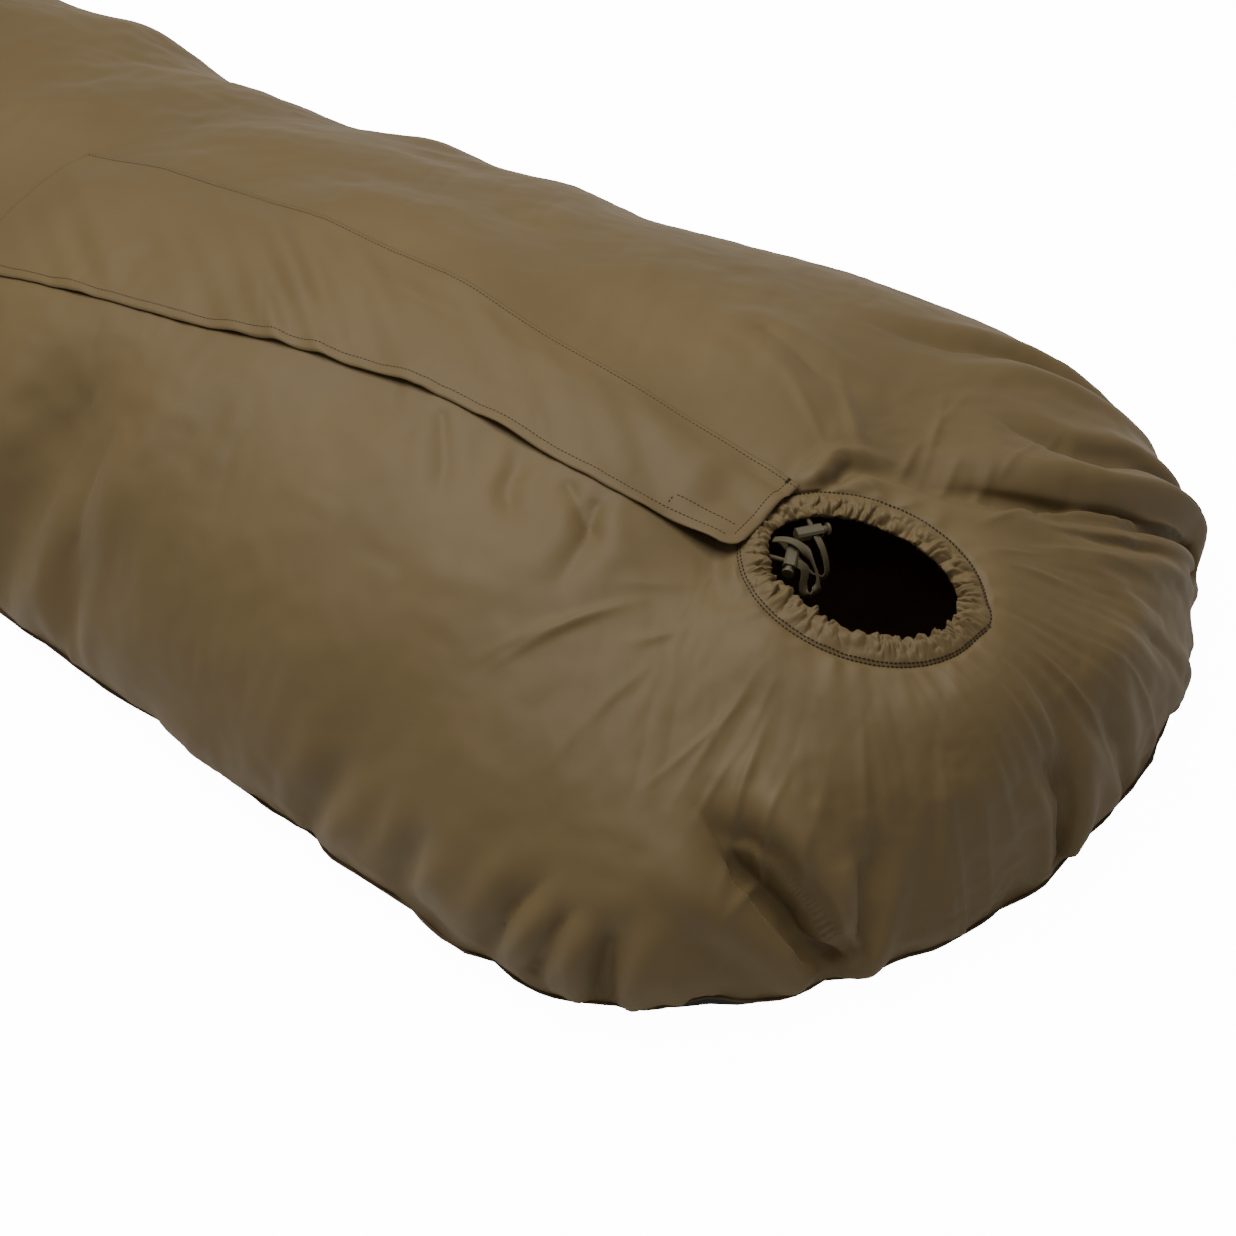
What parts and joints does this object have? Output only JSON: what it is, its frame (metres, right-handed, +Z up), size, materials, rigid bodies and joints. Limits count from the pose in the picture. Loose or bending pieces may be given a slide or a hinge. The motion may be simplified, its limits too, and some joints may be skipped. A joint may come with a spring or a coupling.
{
  "type": "bivy sack",
  "caption": "Filled one-person bivy sack lying flat, with a gathered face opening, drawcord and cord locks, and a zip under a storm flap.",
  "frame": {"origin": "on the ground, at the middle of the bag's length and width", "axes": "+X along the bag towards the head end, +Z up; the zip and the face opening lie a little to the -Y side"},
  "size_m": [2.253, 0.763, 0.2487],
  "materials": {
    "shell_fabric": "satin",
    "floor_fabric": "matte",
    "binding_tape": "matte",
    "drawcord": "matte",
    "lock_plastic": "satin",
    "spring_steel": "bright",
    "zip_tape": "matte",
    "zip_coil": "satin",
    "slider_metal": "satin",
    "hook_and_loop": "matte"
  },
  "bodies": {
    "bag": {"floor_sheet": "floor_fabric", "near_side_panel": "shell_fabric", "far_side_panel": "shell_fabric", "perimeter_binding": "binding_tape", "face_casing": "shell_fabric", "face_drawcord": "drawcord", "drawcord_loop_a": "drawcord", "drawcord_loop_b": "drawcord", "cord_lock_a_body": "lock_plastic", "cord_lock_a_spring": "spring_steel", "cord_lock_b_body": "lock_plastic", "cord_lock_b_spring": "spring_steel", "zip_tape_near": "zip_tape", "zip_tape_far": "zip_tape", "zip_coil_near": "zip_coil", "zip_coil_far": "zip_coil", "zip_top_stop_near": "slider_metal", "zip_top_stop_far": "slider_metal", "zip_bottom_stop": "slider_metal", "storm_flap": "shell_fabric", "zip_facing": "shell_fabric", "loop_patch": "hook_and_loop"},
    "zip_slider": {"zip_slider_body": "slider_metal"},
    "zip_pull_outer": {"zip_pull_outer": "slider_metal"},
    "zip_pull_inner": {"zip_pull_inner": "slider_metal"},
    "storm_flap_end": {"storm_flap_end": "shell_fabric", "hook_patch": "hook_and_loop"},
    "cord_lock_a_plunger": {"cord_lock_a_plunger": "lock_plastic"},
    "cord_lock_b_plunger": {"cord_lock_b_plunger": "lock_plastic"}
  },
  "joints": [
    {"name": "zip_slider_run", "type": "hinge", "parent": "bag", "child": "zip_slider", "pos_m": [0.54, -0.05, -1.08], "axis": [0, -1, 0], "range_deg": [0, 26]},
    {"name": "outer_pull_swing", "type": "hinge", "parent": "zip_slider", "child": "zip_pull_outer", "pos_m": [0.81268, -0.05, 0.21398], "axis": [0, 1, 0], "range_deg": [0, 16]},
    {"name": "inner_pull_swing", "type": "hinge", "parent": "zip_slider", "child": "zip_pull_inner", "pos_m": [0.81064, -0.05, 0.20429], "axis": [0, 1, 0], "range_deg": [-70, 70]},
    {"name": "storm_flap_peel", "type": "hinge", "parent": "bag", "child": "storm_flap_end", "pos_m": [0.8012, -0.018, 0.21543], "axis": [-0.9803, 0, 0.1977], "range_deg": [0, 140]},
    {"name": "cord_lock_a_press", "type": "slide", "parent": "bag", "child": "cord_lock_a_plunger", "axis": [-0.5232, -0.8449, 0.1112], "range_m": [0, 0.003], "stiffness_N_per_m": 300, "springref_m": -0.002, "deforming": ["cord_lock_a_spring"]},
    {"name": "cord_lock_b_press", "type": "slide", "parent": "bag", "child": "cord_lock_b_plunger", "axis": [-0.4011, 0.9121, 0.0853], "range_m": [0, 0.003], "stiffness_N_per_m": 300, "springref_m": -0.002, "deforming": ["cord_lock_b_spring"]}
  ]
}
